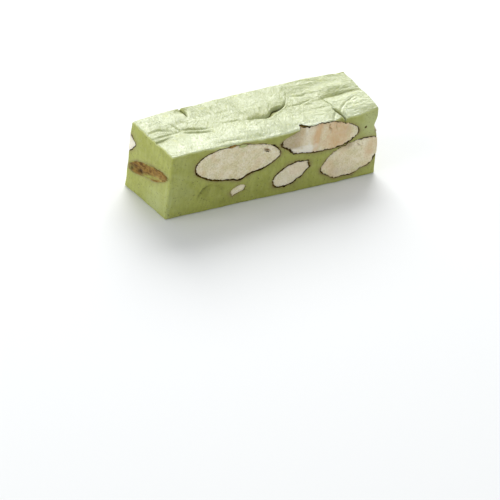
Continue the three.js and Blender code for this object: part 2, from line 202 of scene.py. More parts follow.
ALMONDS = {
    "almond_front_1": dict(
        face="front", at=(19.6, 12.95), length=24.6, height=9.1, tilt=-3, taper=0.16, deep=4.6,
        corners=[(275, 0.9, 8), (293, -0.35, 10), (335, -0.35, 16), (48, 0.45, 16), (215, -0.35, 20),
                 (255, 0.2, 14), (135, 0.15, 25)],
        skin=(0.36, [(190, 0.16, 40), (245, 0.1, 25), (280, 0.18, 14), (300, 0.28, 12), (65, -0.24, 18),
                     (40, 0.16, 10), (5, -0.14, 15), (112, 0.2, 12)]),
        dents=[([(26.9, 14.85), (27.9, 14.4), (28.8, 13.8)], 0.7, 0.24)],
        ragged=0.35),
    "almond_front_2": dict(
        face="front", at=(44.0, 13.95), length=23.8, height=7.5, tilt=-3.5, taper=0, deep=4.2,
        corners=[(117, 1.3, 5), (106, 0.1, 8), (142, -0.4, 12), (176, -0.3, 8), (206, -1.0, 15),
                 (234, 0.45, 8), (335, -0.4, 16), (78, 0.45, 14)],
        skin=(0.24, [(176, 0.45, 12), (205, 0.25, 18), (112, 0.25, 6), (148, -0.25, 20), (318, 0.3, 12),
                     (5, 0.12, 14)]),
        dents=[([(46.2, 18), (46.7, 17.2), (46.4, 16.5), (47.3, 15.8), (46.9, 14.7)], 0.24, 0.17),
               ([(42.7, 17.6), (42.5, 15), (42.9, 11.4)], 0.12, 0.6),
               ([(38.2, 18), (38, 15), (38.6, 12.6)], 0.08, 0.5),
               ([(48.9, 17.4), (48.6, 16.3), (49.2, 15.2)], 0.12, 0.17)],
        peaches=[((42.5, 14.5), (3, 2.5), 0.12), ((38, 14.8), (2, 2.5), 0.3)],
        stains=[((52.6, 14.6), (1.3, 1.5), 0.12)],
        broken=1.0, ragged=0.6),
    "almond_front_3": dict(
        face="front", at=(35.7, 5.45), length=10.7, height=5.1, tilt=20, taper=-0.06, deep=2.6,
        corners=[(320, -0.35, 14), (38, -0.35, 14), (150, 0.2, 20), (285, -0.3, 12), (17, 0.35, 7),
                 (340, 0.4, 7)],
        skin=(0.42, [(120, 0.12, 30), (205, 0.15, 25), (270, -0.12, 20), (355, 0.15, 8)]),
        pale=0.3, ragged=0.35),
    "almond_front_4": dict(
        face="front", at=(20.1, 4.5), length=4.4, height=2, tilt=16, taper=0.1, deep=1,
        corners=[(63, 0.1, 14), (144, 0.17, 14), (230, 0.6, 14), (306, 0.4, 14), (346, 0.15, 12)],
        skin=(0.03, [(306, 0.16, 12)]),
        pale=0.1),
    "almond_front_5": dict(
        face="front", at=(54.8, 6), length=20, height=8.9, tilt=12, taper=0.05, deep=5.2,
        corners=[(110, 0.3, 16), (205, -0.8, 18), (240, -0.75, 14), (280, -0.6, 16), (320, -1.9, 15),
                 (128, 0.2, 8)],
        skin=(0.22, [(60, 0.1, 20), (180, 0.32, 16), (318, 0.45, 10)]),
        dents=[([(55.2, 10.1), (56, 9.4), (56.8, 8.7)], 0.2, 0.16)],
        stains=[((52.4, 9.9), (1.8, 0.9), 0.45), ((49.7, 3), (2.6, 0.9), 0.14)],
        peaches=[((59.6, 6.9), (1.6, 2.2), 0.6), ((50.5, 5.5), (4, 3), 0.12)],
        proud=(0.2, 0), ragged=0.5),
    "almond_left_1": dict(
        face="left", at=(8.9, 9.3), length=17.2, height=4.2, tilt=-19, taper=-0.1, deep=1.9,
        corners=[(60, 0.3, 20), (140, 0.4, 14), (245, 0.2, 14), (285, -0.8, 20)],
        skin=(0.03, []),
        proud=(-0.2, 0), torn=True, ragged=0.45),
    "almond_left_2": dict(
        face="left", at=(18.4, 13.25), length=5.2, height=4.5, tilt=-14, taper=0, deep=5,
        corners=[(180, 0.9, 18)],
        skin=(0.36, [(150, 0.2, 30)]),
        proud=(0, 0.2), pale=0.8),
    "almond_right_1": dict(
        face="right", at=(4.6, 12.9), length=8.2, height=3.2, tilt=8, taper=0.1, deep=2,
        corners=[(200, 0.3, 20)],
        skin=(0.22, []),
        proud=(0.4, 0)),
    "almond_right_2": dict(
        face="right", at=(11.8, 6.6), length=9, height=7.4, tilt=-24, taper=0.12, deep=3,
        corners=[(60, 0.5, 14), (230, -0.4, 18)],
        skin=(0.22, [(150, 0.15, 30)])),
    "almond_back_1": dict(
        face="back", at=(14.5, 6.2), length=20.5, height=8.2, tilt=5, taper=-0.14, deep=4.2,
        corners=[(80, 0.5, 16), (245, -0.4, 18), (300, 0.4, 12)],
        skin=(0.22, [(180, 0.15, 30), (300, 0.15, 20)]),
        dents=[([(17, 8.6), (18.6, 7.4), (20.4, 6.9)], 0.25, 0.18)]),
    "almond_back_2": dict(
        face="back", at=(26.5, 14), length=14.2, height=6.4, tilt=-10, taper=0.12, deep=3.2,
        corners=[(130, 0.4, 14), (330, -0.3, 16)],
        skin=(0.2, [(60, 0.15, 25)])),
    "almond_back_3": dict(
        face="back", at=(32.4, 5.2), length=8.4, height=4.2, tilt=24, taper=0, deep=2.2,
        corners=[(200, 0.3, 16)],
        skin=(0.22, [])),
    "almond_back_4": dict(
        face="back", at=(47.6, 9.6), length=22.4, height=9.4, tilt=9, taper=0.15, deep=4,
        corners=[(100, 0.4, 14), (160, -0.5, 16), (285, 0.6, 12)],
        skin=(0.2, [(20, 0.12, 30), (250, 0.2, 25)]),
        dents=[([(42, 11.6), (43.2, 10.2), (43, 8.8)], 0.2, 0.3)],
        broken=0.5),
}

RAGGED = 0.17  # how far an outline wavers where its almond doesn't say
SKIN_SUNK = 0.12  # how far the cut skin lies below the cut face
LEAST_SKIN = 0.03

# Spots of the torn skin: the place along and across the almond's length, the size and the strength.
TORN_PITS = [((3.4, -0.4), (1.3, 0.8), 0.35)]
TORN_SMEARS = [((0.6, -1.05), (2, 0.45), 0.9), ((7.2, -0.1), (1.2, 0.7), 0.6),
               ((-3.6, -0.95), (2.4, 0.5), 0.55)]
TORN_TANS = [((-5.2, -0.9), (3, 0.8), 0.7)]
TORN_DARKS = [((3.6, -0.5), (1.3, 0.65), 1), ((6.9, -0.2), (0.8, 0.7), 0.85), ((5, 0.9), (2.5, 0.3), 0.35)]

FLAKE_PROUD = 0.7  # share of a flake's thickness that it stands out
# A nougat flake takes the top's painted light, the top as lit by the lamp behind it.
FLAKE_LIT_TOP = 0.8  # how far a nougat flake has the colour of the top
# Fine bits on the front face: (along, up), size, turn in degrees and what they are.
FLAKES = [
    dict(name="flake_pale", at=(14.2, 18.6), size=(2.3, 0.28, 0.36), turn=-4, kind="nougat", sheen=0.5),
    dict(name="flake_skin", at=(17.3, 18.25), size=(1.3, 0.36, 0.34), turn=4, kind="skin"),
    dict(name="flake_green", at=(20.5, 17.75), size=(1.15, 0.5, 0.42), turn=4, kind="nougat"),
    dict(name="fleck", at=(58.1, 14.25), size=(0.46, 0.27, 0.2), turn=30, kind="dark"),
    dict(name="nick", at=(27.95, 14.2), size=(0.55, 0.12, 0.06), turn=-24, kind="dark"),
]

# ---- Noise ----


def lattice_value(i, j, k):
    mixed = np.sin(i * 127.1 + j * 311.7 + k * 74.7) * 43758.5453
    return 2 * (mixed - np.floor(mixed)) - 1


def noise(x, y, z):
    """Smooth noise from -1 to 1 with bumps one unit apart."""
    x, y, z = np.broadcast_arrays(*(np.asarray(v, float) for v in (x, y, z)))
    cell = [np.floor(v) for v in (x, y, z)]
    part = [v - c for v, c in zip((x, y, z), cell)]
    ease = [p * p * (3 - 2 * p) for p in part]
    total = np.zeros_like(x)
    for corner in range(8):
        step = [corner & 1, corner >> 1 & 1, corner >> 2 & 1]
        share = np.ones_like(x)
        for side, e in zip(step, ease):
            share = share * (e if side else 1 - e)
        total += share * lattice_value(cell[0] + step[0], cell[1] + step[1], cell[2] + step[2])
    return total


def fractal(x, y, z, octaves):
    """Noise with finer and fainter layers, from about -1 to 1."""
    total = 0
    for octave in range(octaves):
        scale = 2.03**octave
        total = total + noise(x * scale + 17 * octave, y * scale, z * scale) / 2**octave
    return total / (2 - 2.0 ** (1 - octaves))


def bell(distance, width=1.0):
    return np.exp(-((distance / width) ** 2))


def smoothstep(value, low, high):
    t = np.clip((value - low) / (high - low), 0, 1)
    return t * t * (3 - 2 * t)


def turned(x, y, degrees):
    c, s = math.cos(math.radians(degrees)), math.sin(math.radians(degrees))
    return x * c - y * s, x * s + y * c


def spots(rows, first, second):
    """The sum of soft spots, each with its place, its size and its strength."""
    total = np.zeros(first.shape)
    for at, size, strength in rows:
        total += strength * bell(np.hypot((first - at[0]) / size[0], (second - at[1]) / size[1]))
    return total


# ---- Shape of the bar ----


def nearest_on_path(path, x, y):
    """Distance to a line, the side a point lies on, and the nearest spot's part of the way along it."""
    distance = np.full(x.shape, np.inf)
    side = np.ones(x.shape)
    part = np.zeros(x.shape)
    for i, ((ax, ay), (bx, by)) in enumerate(zip(path, path[1:])):
        run_x, run_y = bx - ax, by - ay
        t = np.clip(((x - ax) * run_x + (y - ay) * run_y) / (run_x**2 + run_y**2), 0, 1)
        gap_x, gap_y = x - ax - t * run_x, y - ay - t * run_y
        away = np.hypot(gap_x, gap_y)
        closer = away < distance
        distance = np.where(closer, away, distance)
        side = np.where(closer, np.where(run_x * gap_y - run_y * gap_x < 0, -1, 1), side)
        part = np.where(closer, (i + t) / (len(path) - 1), part)
    return distance, side, part


def crease_depth(crease, along, across):
    """How deep places lie in a crease, which fades out at both ends."""
    path, depth, front, behind = crease
    distance, side, part = nearest_on_path(path, along, across)
    fade = np.sqrt(np.sin(np.pi * np.clip(part, 0.02, 0.98)))
    return depth * fade * bell(distance, np.where(side > 0, behind, front))


def fold_place(along, across):
    """Distance behind the fold's lip, the floor's length there, and how strong the fold is."""
    distance, side, part = nearest_on_path(FOLD_PATH, along, across)
    strength = np.sqrt(np.sin(np.pi * np.clip(part, 0.01, 0.99)))
    strength = strength * (1 - (1 - FOLD_FADED) * smoothstep(along, *FOLD_FADE))
    floor_length = FOLD_FLOOR_LEAST + FOLD_FLOOR * bell(along - FOLD_FLOOR_AT[0], FOLD_FLOOR_AT[1])
    return distance * side, floor_length, strength


def fold_height(along, across):
    behind, floor_length, strength = fold_place(along, across)
    longer, place, spread = FOLD_LONG_WALL
    wall = FOLD_WALL + longer * bell(along - place, spread)
    floor = -FOLD_DEPTH * np.clip(behind / floor_length, 0, 1)
    climb = 1 - (1 - np.clip((behind - floor_length) / wall, 0, 1)) ** 3
    lift = FOLD_LIFT * bell(np.maximum(behind - floor_length - wall, 0), FOLD_ROLL)
    lip_height, lip_place, lip_width = FOLD_LIP
    lip = lip_height * bell(behind + lip_place, lip_width)
    return strength * np.where(behind > 0, floor + climb * (FOLD_DEPTH + lift), lip)


def wrinkles(along, across):
    """Fine slanting wrinkles of the pulled surface, deeper in some places than in others."""
    slant_along, slant_across = 0.42 * along + 0.91 * across, 0.42 * across - 0.91 * along
    patchy = 0.4 + 0.6 * smoothstep(noise(along / 7, across / 5, 8.5), -0.4, 0.6)
    fine = noise(slant_along / 3.2, slant_across / 0.75, 3.5)
    right = smoothstep(along, 40, 48)
    strands = noise(along / 4.2 + 0.2 * across, across / 0.8 + along / 9, 5.5)
    lumps = noise(along / 1.5, across / 1.1, 6.5)
    crumbly = smoothstep(along, 50, 54) * smoothstep(-across, -9, -6.5) + 0.15 * smoothstep(-along, -50, -12)
    flakes = crumbly * noise((along + across) / 0.7, (across - 0.6 * along) / 0.5, 12.5)
    slow = 0.1 * patchy * fine * (1 - 0.7 * right) + (0.04 + 0.09 * right * (1 - 0.6 * crumbly)) * strands
    return slow + 0.05 * lumps * patchy + 0.05 * flakes


def top_relief(along, across):
    height = ROUGHNESS * noise(along / ROUGH_SPACING, across / ROUGH_SPACING, 0.5)
    for crease in CREASES:
        height = height - crease_depth(crease, along, across)
    height = height + spots(TOP_MOUNDS, along, across)
    return height + fold_height(along, across) + wrinkles(along, across)


def side_place(face, p):
    """A point's first place on a side, its depth below it, and the way out."""
    first_axis, out_axis, far = FACES[face]
    depth = SIZE[out_axis] - p[:, out_axis] if far else p[:, out_axis]
    out = np.zeros(3)
    out[out_axis] = 1 if far else -1
    return p[:, first_axis], depth, out


def roughen(p):
    """The true box's points, moved by the relief of the top and of the sides."""
    moved = p.copy()
    moved[:, 2] += top_relief(p[:, 0], p[:, 1]) * (p[:, 2] / HEIGHT) ** TOP_REACH
    for face in FACES:
        first, depth, out = side_place(face, p)
        fade = np.clip(1 - depth / SIDE_REACH, 0, 1) ** 2
        layer = 7 * out[0] + 13 * out[1] + 0.5
        push = ROUGHNESS * noise(first / ROUGH_SPACING, p[:, 2] / ROUGH_SPACING, layer)
        push = push + spots(SIDE_MOUNDS[face], first, p[:, 2])
        for crease in SIDE_CREASES.get(face, []):
            push = push - crease_depth(crease, first, p[:, 2])
        moved += (push * fade)[:, None] * out
    return moved


def bend_offset(p):
    """How far bending moves the points of the true box."""
    part = p / SIZE
    offset = np.tile([-LENGTH / 2 - BOX_MIDDLE[0], -WIDTH / 2 - BOX_MIDDLE[1], 0.0], (len(p), 1))
    for corner, shift in CORNER_SHIFT.items():
        share = np.prod([part[:, i] if far else 1 - part[:, i] for i, far in enumerate(corner)], axis=0)
        offset += share[:, None] * np.array(shift)
    return offset


def bend(p):
    return p + bend_offset(p)


def unbend(p):
    """The place in the true box that a point of the bent bar came from."""
    straight = p + [LENGTH / 2, WIDTH / 2, 0]
    for _ in range(UNBEND_ROUNDS):
        straight = p - bend_offset(straight)
    return straight


# ---- Meshes ----


def add_object(name, data):
    made = bpy.data.objects.new(name, data)
    bpy.context.scene.collection.objects.link(made)
    return made


def make_object(name, points, faces):
    """A mesh object in metres from points in millimetres."""
    mesh = bpy.data.meshes.new(name)
    mesh.from_pydata((np.asarray(points) * MM).tolist(), [], faces)
    mesh.validate()
    return add_object(name, mesh)


def vectors(items, field):
    values = np.empty(len(items) * 3)
    items.foreach_get(field, values)
    return values.reshape(-1, 3)


def points_of(thing):
    return vectors(thing.data.vertices, "co") / MM


def sink(thing, depth):
    """Brings a mesh's surface in by a depth all round."""
    points = points_of(thing) - depth * vectors(thing.data.vertex_normals, "vector")
    thing.data.vertices.foreach_set("co", (points * MM).ravel())
    thing.data.update()


def grid_lines(size, step, stretches=(), fine_step=FINE_STEP):
    """Places of the mesh lines along one side of the box, closer at the rounded edges and in stretches."""
    edge = EDGE_RADIUS * np.linspace(0, 1, EDGE_LINES + 1)
    middle = [EDGE_RADIUS]
    while middle[-1] < size - EDGE_RADIUS - step / 2:
        fine = any(low <= middle[-1] < high for low, high in stretches)
        middle.append(middle[-1] + (fine_step if fine else step))
    middle = np.array(middle) - EDGE_RADIUS
    middle = EDGE_RADIUS + middle * (size - 2 * EDGE_RADIUS) / middle[-1]
    return np.concatenate([edge[:-1], middle, (size - edge[:-1])[::-1]])


def box_surface(lines):
    """Points and faces of a gridded box with rounded edges. The flat of its underside is one face."""
    counts = [len(line) for line in lines]
    quads = []
    for axis in range(3):
        first, second = (axis + 1) % 3, (axis + 2) % 3
        i, j = np.meshgrid(np.arange(counts[first] - 1), np.arange(counts[second] - 1), indexing="ij")
        for far in (False, True):
            keep = np.ones(i.shape, bool)
            if axis == 2 and not far:
                keep[EDGE_LINES:-EDGE_LINES, EDGE_LINES:-EDGE_LINES] = False
            corners = np.zeros((keep.sum(), 4, 3), int)
            corners[:, :, axis] = counts[axis] - 1 if far else 0
            for corner, (di, dj) in enumerate([(0, 0), (1, 0), (1, 1), (0, 1)]):
                corners[:, corner, first] = i[keep] + di
                corners[:, corner, second] = j[keep] + dj
            quads.append(corners if far else corners[:, ::-1])
    places = np.concatenate(quads).reshape(-1, 3)
    places, index = np.unique(places, axis=0, return_inverse=True)
    points = np.stack([lines[axis][places[:, axis]] for axis in range(3)], axis=1)
    core = np.clip(points, EDGE_RADIUS, SIZE - EDGE_RADIUS)
    outward = points - core
    points = core + outward * (EDGE_RADIUS / np.linalg.norm(outward, axis=1))[:, None]
    number = {tuple(place): i for i, place in enumerate(places.tolist())}
    low, high_x, high_y = EDGE_LINES, counts[0] - 1 - EDGE_LINES, counts[1] - 1 - EDGE_LINES
    rim = [(low, y) for y in range(low, high_y)] + [(x, high_y) for x in range(low, high_x)]
    rim += [(high_x, y) for y in range(high_y, low, -1)] + [(x, low) for x in range(high_x, low, -1)]
    underside = [number[x, y, 0] for x, y in rim]
    return points, index.reshape(-1, 4).tolist() + [underside]


def make_block(name, lines, relief=None, proud=(0, 0)):
    """The whole bar without pockets. relief roughens it further, and proud moves it."""
    points, faces = box_surface(lines)
    moved = roughen(points)
    if relief:
        moved += relief(points)
    return make_object(name, bend(moved) + [proud[0], proud[1], 0], faces)


def ring_faces(rings, count):
    """Faces of rings of count points each, one after another, and of two end points that follow them."""
    faces = []
    last = (rings - 1) * count
    for s in range(count):
        t = (s + 1) % count
        for r in range(rings - 1):
            faces.append([r * count + s, r * count + t, (r + 1) * count + t, (r + 1) * count + s])
        faces += [[rings * count, t, s], [rings * count + 1, last + s, last + t]]
    return faces


def angle_gap(angle, degrees):
    """How far angles in radians lie from one in degrees, in degrees."""
    return (np.degrees(angle) - degrees + 180) % 360 - 180


def almond_outline(almond, angle, grow):
    """The outline of the almond's widest section, from its middle, at angles in radians."""
    x = (almond["length"] / 2 + grow) * np.cos(angle)
    y = (almond["height"] / 2 + grow) * np.sin(angle) * (1 - almond["taper"] * np.cos(angle))
    reach = np.hypot(x, y)
    longer = reach.copy()
    for degrees, push, spread in almond["corners"]:
        longer += push * bell(angle_gap(angle, degrees), spread)
    return turned(x * longer / reach, y * longer / reach, almond["tilt"])


def skin_thickness(almond, angle):
    """A skin that thins out and thickens along the outline."""
    base, changes = almond["skin"]
    thickness = base * (1 + fractal(sum(almond["at"]) + 8 * np.cos(angle), 8 * np.sin(angle), 3.5, 4))
    for degrees, extra, spread in changes:
        thickness = thickness + extra * bell(angle_gap(angle, degrees), spread)
    return np.maximum(thickness, LEAST_SKIN)


def outline_gap(almond, first, up):
    """How far places on the almond's side lie outside its skin."""
    x, y = local_place(almond, first, up)
    half_length, half_height = almond["length"] / 2, almond["height"] / 2
    angle = np.arctan2(y / half_height, x / half_length)
    angle = np.arctan2(y / (half_height * (1 - almond["taper"] * np.cos(angle))), x / half_length)
    edge_x, edge_y = almond_outline(almond, angle, skin_thickness(almond, angle))
    return np.hypot(x, y) - np.hypot(edge_x, edge_y)


def make_almond(name, almond, with_skin=False):
    """A whole almond with its widest section on a side of the bar."""
    first_axis, out_axis, far = FACES[almond["face"]]
    angle = np.linspace(0, 2 * math.pi, ALMOND_SEGMENTS, endpoint=False)
    around = almond["length"] * 0.8
    ragged = fractal(sum(almond["at"]) + around * np.cos(angle), around * np.sin(angle), 0.5, 3)
    grow = almond.get("ragged", RAGGED) * ragged
    deep = almond["deep"]
    if with_skin:
        outside = fractal(sum(almond["at"]) + around * np.cos(angle), around * np.sin(angle), 7.5, 2)
        grow = 0.4 * grow + skin_thickness(almond, angle) + 0.1 * outside
        deep += almond["skin"][0]
    x, y = almond_outline(almond, angle, grow)
    points = []
    for ring in [*range(1, ALMOND_RINGS), 0, ALMOND_RINGS]:
        turn = math.pi * ring / ALMOND_RINGS
        place = np.zeros((ALMOND_SEGMENTS if 0 < ring < ALMOND_RINGS else 1, 3))
        place[:, first_axis] = almond["at"][0] + x[:len(place)] * math.sin(turn)
        place[:, 2] = almond["at"][1] + y[:len(place)] * math.sin(turn)
        place[:, out_axis] = deep * math.cos(turn)
        points.append(place)
    points = np.concatenate(points)
    if far:
        points[:, out_axis] = SIZE[out_axis] - points[:, out_axis]
    faces = ring_faces(ALMOND_RINGS - 1, ALMOND_SEGMENTS)
    if (first_axis == 0) == bool(far):
        faces = [face[::-1] for face in faces]
    return make_object(name, bend(points), faces)


def local_place(almond, first, up):
    """Places along and across the almond's own length, from its middle."""
    return turned(first - almond["at"][0], up - almond["at"][1], -almond["tilt"])


def dent_share(path, width, first, up):
    """How far places lie in a dent, 1 in its middle."""
    distance, _, part = nearest_on_path(path, first, up)
    return bell(distance, width) * np.sin(np.pi * np.clip(part, 0.1, 0.9))


def kernel_relief(almond, first, up):
    """How far the cut surface of an almond stands out: crumbs, soft rims, cracks and broken steps."""
    seed = sum(almond["at"])
    x, y = local_place(almond, first, up)
    rim = np.hypot(2 * x / almond["length"], 2 * y / almond["height"])
    height = 0.07 * fractal(first / 0.9, up / 0.9, seed, 4) - 0.1 * smoothstep(rim, 0.86, 1.02)
    for path, depth, width in almond.get("dents", []):
        height = height - depth * dent_share(path, width, first, up)
    if "broken" in almond:
        fibres = fractal(first / 0.7, up / 3.2, seed, 3)
        slope = -0.35 * smoothstep(-x, 3, 9)
        crumbs = bell(x + 4.5, 3) * bell(y + 2.6, 1) * (0.6 + 0.8 * fractal(first / 0.5, up / 0.5, 1.5, 3))
        height = height + almond["broken"] * (0.13 * fibres + slope + 0.28 * crumbs)
    if almond.get("torn"):
        height = height - 0.1 + 0.3 * fractal(x / 2.4, y / 0.6, seed, 4) - spots(TORN_PITS, x, y)
    return height


def side_view(thing, almond):
    """A piece's points on its almond's side: along or across the bar and up, and in the almond's own axes."""
    place = unbend(points_of(thing)) - [*almond.get("proud", (0, 0)), 0]
    first, up = place[:, FACES[almond["face"]][0]], place[:, 2]
    return first, up, *local_place(almond, first, up)


def kernel_block(almond):
    """The bar with an almond's own cut surface on the almond's side, finely meshed there."""
    first_axis, out_axis, _ = FACES[almond["face"]]
    half_length, half_height = almond["length"] / 2, almond["height"] / 2
    reach = half_length + KERNEL_MARGIN
    up_reach = math.hypot(half_length * math.sin(math.radians(almond["tilt"])), half_height) + KERNEL_MARGIN
    stretches = [[], [], []]
    stretches[first_axis] = [(almond["at"][0] - reach, almond["at"][0] + reach)]
    stretches[2] = [(almond["at"][1] - up_reach, almond["at"][1] + up_reach)]
    steps = [KERNEL_FAR_STEP] * 3
    steps[out_axis] = KERNEL_DEPTH_STEP
    lines = [grid_lines(SIZE[axis], steps[axis], stretches[axis], KERNEL_STEP) for axis in range(3)]

    def relief(points):
        first, depth, out = side_place(almond["face"], points)
        push = kernel_relief(almond, first, points[:, 2]) * np.clip(1 - depth / KERNEL_RELIEF_REACH, 0, 1)
        return push[:, None] * out

    return make_block("own_block", lines, relief, almond.get("proud", (0, 0)))


def cut(thing, tools, operation):
    """Applies a boolean with each tool in turn."""
    for tool in tools:
        step = thing.modifiers.new(operation, "BOOLEAN")
        step.operation = operation
        step.solver = "MANIFOLD"
        step.object = tool
    settled = bpy.data.meshes.new_from_object(thing.evaluated_get(bpy.context.evaluated_depsgraph_get()))
    thing.modifiers.clear()
    thing.data = settled
    settled.name = thing.name
    return thing


def remove(*things):
    for thing in things:
        bpy.data.objects.remove(thing)


def paint(thing, name, values):
    """A value from 0 to 1 for each point of a mesh, or one for all, for its material to read."""
    layer = thing.data.attributes.new(name, "FLOAT", "POINT")
    layer.data.foreach_set("value", np.clip(values, 0, 1) + np.zeros(len(layer.data)))


def dress(thing, material, nodes=()):
    """Gives a piece its material and shading, rides it on the bar's one body and hides the frame's nodes it
    stands for.
    """
    thing.data.materials.clear()
    thing.data.materials.append(material)
    thing.data.shade_smooth()
    thing.data.set_sharp_from_angle(angle=math.radians(SHARP_ANGLE))
    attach(thing, "root")
    if nodes:
        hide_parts(*nodes)


# ---- Materials ----

# Linear colours of the nougat.
CUT_GREEN = (0.375, 0.40, 0.07)
CUT_GREEN_LIGHT = (0.43, 0.465, 0.10)
CUT_YELLOWED = (0.45, 0.47, 0.14)
CUT_DRAGGED = (0.27, 0.29, 0.05)
# Painted light and shade of the sides, mixed with a faint random tone.
PALE_AND_LIT_GREEN = (0.51, 0.56, 0.24)
DARK_AND_SHADED_GREEN = (0.25, 0.26, 0.03)
SPECK = (0.14, 0.13, 0.03)
HALO = (0.25, 0.19, 0.065)
# The top's pale green: painted light, the top lit by the lamp behind it, in streaks.
LIT_STRAND_DARK = (0.40, 0.45, 0.19)
LIT_STRAND_LIGHT = (0.54, 0.585, 0.345)
TOP_CLOUD = (0.43, 0.485, 0.215)
# Painted sheen: the lamp's reflection on the top.
SHEEN = (0.82, 0.88, 0.62)
WRINKLE_SHADE = (0.33, 0.37, 0.13)
SHADE = (0.30, 0.33, 0.08)
RIM_HIGHLIGHT = (0.60, 0.64, 0.25)
FOLD_FLOOR_SHADE = (0.27, 0.27, 0.07)
CREASE_SHADE = (0.16, 0.17, 0.03)
CREASE_CORE_SHADE = (0.05, 0.05, 0.012)

# Those of the kernels and the skins.
CREAM = (0.81, 0.73, 0.42)
CREAM_LIGHT = (0.95, 0.86, 0.62)
CREAM_YELLOW = (0.73, 0.70, 0.42)
GRAIN_DARK = (0.62, 0.53, 0.33)
GRAIN_LIGHT = (0.98, 0.94, 0.80)
PEACH = (0.78, 0.545, 0.29)
WHITE = (0.98, 0.93, 0.78)
BROWN = (0.21, 0.105, 0.02)
SKIN_DARK = (0.028, 0.016, 0.002)
SKIN_LIGHT = (0.12, 0.078, 0.012)
TORN_BROWN = (0.13, 0.06, 0.01)
TORN_BROWN_LIGHT = (0.37, 0.225, 0.055)
TORN_TAN = (0.50, 0.36, 0.12)
TORN_GREEN = (0.38, 0.40, 0.10)
TORN_DARK = (0.05, 0.025, 0.005)
TORN_STREAK = (0.20, 0.12, 0.03)

WARP_SIZE = 7  # size of the waves that bend a noise's streaks
STRANDS_TURN = (0.008, 0.018)  # metres right of the middle between which the top's streaks change direction


def node(tree, kind, inputs=None, **settings):
    """A shader node with its settings, and its sockets set to values or linked."""
    made = tree.nodes.new("ShaderNode" + kind)
    for name, value in settings.items():
        setattr(made, name, value)
    for socket, value in (inputs or {}).items():
        if isinstance(value, bpy.types.NodeSocket):
            tree.links.new(value, made.inputs[socket])
        else:
            made.inputs[socket].default_value = value
    return made


class Finish:
    """A material under construction. Places are in metres, in the bar's own space."""

    def __init__(self, name, roughness, ior=1.45, specular=0.5):
        self.material = bpy.data.materials.new(name)
        self.material.use_nodes = True
        self.tree = self.material.node_tree
        self.shader = self.tree.nodes["Principled BSDF"]
        self.place = node(self.tree, "TexCoord").outputs["Object"]
        self.shader.inputs["Roughness"].default_value = roughness
        self.shader.inputs["IOR"].default_value = ior
        self.shader.inputs["Specular IOR Level"].default_value = specular

    def noise(self, size, detail=3.0, stretch=(1, 1, 1), turn=0.0, roughness=0.55, warp=0.0):
        """Noise from 0 to 1 with features of about size millimetres, longer where stretch is above 1."""
        place = self.place
        if warp:
            inputs = {"Vector": place, "Scale": 1 / (WARP_SIZE * MM), "Detail": 1.0}
            wander = node(self.tree, "TexNoise", inputs).outputs["Color"]
            inputs = {0: wander, 1: (warp * MM,) * 3, 2: place}
            place = node(self.tree, "VectorMath", inputs, operation="MULTIPLY_ADD").outputs[0]
        for setting in ({"Rotation": (0, 0, math.radians(turn))}, {"Scale": tuple(1 / s for s in stretch)}):
            place = node(self.tree, "Mapping", {"Vector": place, **setting}).outputs[0]
        inputs = {"Vector": place, "Scale": 1 / (size * MM), "Detail": detail, "Roughness": roughness}
        return node(self.tree, "TexNoise", inputs).outputs["Fac"]

    def value(self, name):
        return node(self.tree, "Attribute", attribute_name=name).outputs["Fac"]

    def span(self, value, low, high, to_low=0.0, to_high=1.0):
        """Value mapped smoothly so that low gives to_low and high gives to_high."""
        inputs = {"Value": value, "From Min": low, "From Max": high, "To Min": to_low, "To Max": to_high}
        return node(self.tree, "MapRange", inputs, interpolation_type="SMOOTHSTEP").outputs["Result"]

    def math(self, operation, first, second):
        return node(self.tree, "Math", {0: first, 1: second}, operation=operation).outputs[0]

    def rest(self, value):
        """What a value lacks to 1."""
        return self.math("SUBTRACT", 1.0, value)

    def blend(self, share, first, second):
        return node(self.tree, "Mix", {0: share, 2: first, 3: second}, data_type="FLOAT").outputs[0]

    def mix(self, share, first, second):
        first, second = ((*c, 1) if isinstance(c, tuple) else c for c in (first, second))
        return node(self.tree, "Mix", {0: share, 6: first, 7: second}, data_type="RGBA").outputs[2]

    def tint(self, first, second, value, low, high, most=1.0):
        """The first colour, and as far as most the second one, where a value rises from low to high."""
        return self.mix(self.span(value, low, high, 0, most), first, second)

    def use(self, socket, value):
        self.tree.links.new(value, self.shader.inputs[socket])

    def bump(self, *layers):
        """Bumps from (height, depth in millimetres) layers, one upon another."""
        normal = None
        for height, depth in layers:
            inputs = {"Height": height, "Strength": 1.0, "Distance": depth * MM}
            if normal:
                inputs["Normal"] = normal
            normal = node(self.tree, "Bump", inputs).outputs["Normal"]
        self.use("Normal", normal)

    def depth(self, weight, reach, radius):
        """Light scattered below the surface, reach in millimetres."""
        self.shader.inputs["Subsurface Weight"].default_value = weight
        self.shader.inputs["Subsurface Radius"].default_value = radius
        self.shader.inputs["Subsurface Scale"].default_value = reach * MM


def cut_green(made, specks):
    """The cut sides' green: cloudy, knife-dragged, specked, with painted light and shade, browner round
    almonds.
    """
    green = made.tint(CUT_GREEN, CUT_GREEN_LIGHT, made.noise(4.5, 3), 0.35, 0.65)
    green = made.tint(green, CUT_YELLOWED, made.noise(1.1, 4), 0.46, 0.64, 0.4)
    green = made.tint(green, CUT_DRAGGED, made.noise(0.6, 3, (1, 1, 5)), 0.45, 0.65, 0.35)
    green = made.tint(green, PALE_AND_LIT_GREEN, made.value("tone_and_light"), 0.5, 1.0, 0.9)
    green = made.tint(green, DARK_AND_SHADED_GREEN, made.value("tone_and_light"), 0.5, 0.0, 0.9)
    green = made.mix(specks, green, SPECK)
    return made.mix(made.value("halo"), green, HALO)


